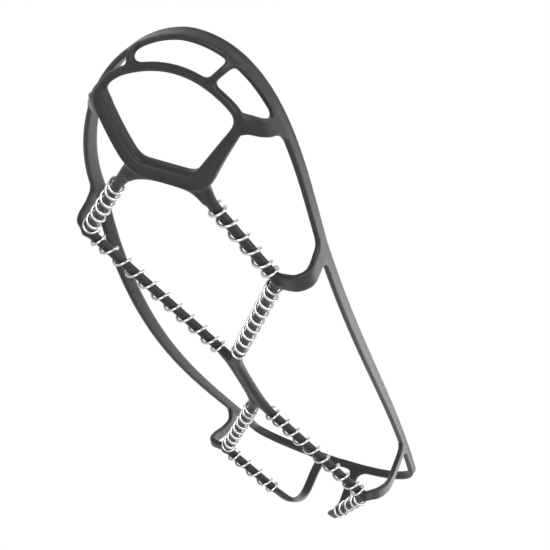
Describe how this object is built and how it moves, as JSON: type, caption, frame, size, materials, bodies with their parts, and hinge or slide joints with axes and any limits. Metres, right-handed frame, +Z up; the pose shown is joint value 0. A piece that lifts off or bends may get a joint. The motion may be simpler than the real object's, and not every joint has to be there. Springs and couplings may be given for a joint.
{
  "type": "ice cleat",
  "caption": "Pull-on ice cleat for a boot: a moulded black rubber sling with a rim, a toe ring and diamond-shaped cords under the sole, each wound with a loose steel coil.",
  "frame": {"origin": "on the ground under the middle of the cleat", "axes": "+Z up from the ground towards the leg, +Y from the toe to the heel, +X to the inner side of a right boot"},
  "size_m": [0.1121, 0.328, 0.0452],
  "materials": {
    "rubber": "moulded, soft satin",
    "steel_wire": "bright drawn wire"
  },
  "bodies": {
    "sling": {"rim_toe": "rubber", "rim_left": "rubber", "rim_right": "rubber", "rim_heel": "rubber", "toe_ring": "rubber", "toe_web_left": "rubber", "toe_web_right": "rubber", "toe_strut_left": "rubber", "toe_strut_right": "rubber", "forefoot_cord_front_left": "rubber", "forefoot_cord_front_right": "rubber", "forefoot_cord_rear_left": "rubber", "forefoot_cord_rear_right": "rubber", "forefoot_arm_left": "rubber", "forefoot_arm_right": "rubber", "arch_bridge": "rubber", "heel_cord_front_left": "rubber", "heel_cord_front_right": "rubber", "heel_cord_rear_left": "rubber", "heel_cord_rear_right": "rubber", "heel_arm_left": "rubber", "heel_arm_right": "rubber", "heel_riser_left": "rubber", "heel_riser_right": "rubber"},
    "forefoot_front_left_coil": {"coil_forefoot_front_left": "steel_wire"},
    "forefoot_front_right_coil": {"coil_forefoot_front_right": "steel_wire"},
    "forefoot_rear_left_coil": {"coil_forefoot_rear_left": "steel_wire"},
    "forefoot_rear_right_coil": {"coil_forefoot_rear_right": "steel_wire"},
    "heel_front_left_coil": {"coil_heel_front_left": "steel_wire"},
    "heel_front_right_coil": {"coil_heel_front_right": "steel_wire"},
    "heel_rear_left_coil": {"coil_heel_rear_left": "steel_wire"},
    "heel_rear_right_coil": {"coil_heel_rear_right": "steel_wire"}
  },
  "joints": [
    {"name": "spin_forefoot_front_left", "type": "hinge", "parent": "sling", "child": "forefoot_front_left_coil", "pos_m": [-0.03342, -0.08582, 0.0035], "axis": [-0.6424, 0.7663, 0], "continuous": true},
    {"name": "spin_forefoot_front_right", "type": "hinge", "parent": "sling", "child": "forefoot_front_right_coil", "pos_m": [0.0321, -0.08603, 0.0035], "axis": [0.4112, 0.9115, 0], "continuous": true},
    {"name": "spin_forefoot_rear_left", "type": "hinge", "parent": "sling", "child": "forefoot_rear_left_coil", "pos_m": [-0.02696, -0.0314, 0.0035], "axis": [0.5612, 0.8277, 0], "continuous": true},
    {"name": "spin_forefoot_rear_right", "type": "hinge", "parent": "sling", "child": "forefoot_rear_right_coil", "pos_m": [0.02155, -0.0315, 0.0035], "axis": [-0.4987, 0.8668, 0], "continuous": true},
    {"name": "spin_heel_front_left", "type": "hinge", "parent": "sling", "child": "heel_front_left_coil", "pos_m": [-0.01779, 0.07301, 0.0035], "axis": [-0.4947, 0.8691, 0], "continuous": true},
    {"name": "spin_heel_front_right", "type": "hinge", "parent": "sling", "child": "heel_front_right_coil", "pos_m": [0.02467, 0.07293, 0.0035], "axis": [0.5472, 0.837, 0], "continuous": true},
    {"name": "spin_heel_rear_left", "type": "hinge", "parent": "sling", "child": "heel_rear_left_coil", "pos_m": [-0.02384, 0.11966, 0.0035], "axis": [0.5625, 0.8268, 0], "continuous": true},
    {"name": "spin_heel_rear_right", "type": "hinge", "parent": "sling", "child": "heel_rear_right_coil", "pos_m": [0.03334, 0.11966, 0.0035], "axis": [-0.5625, 0.8268, 0], "continuous": true}
  ]
}
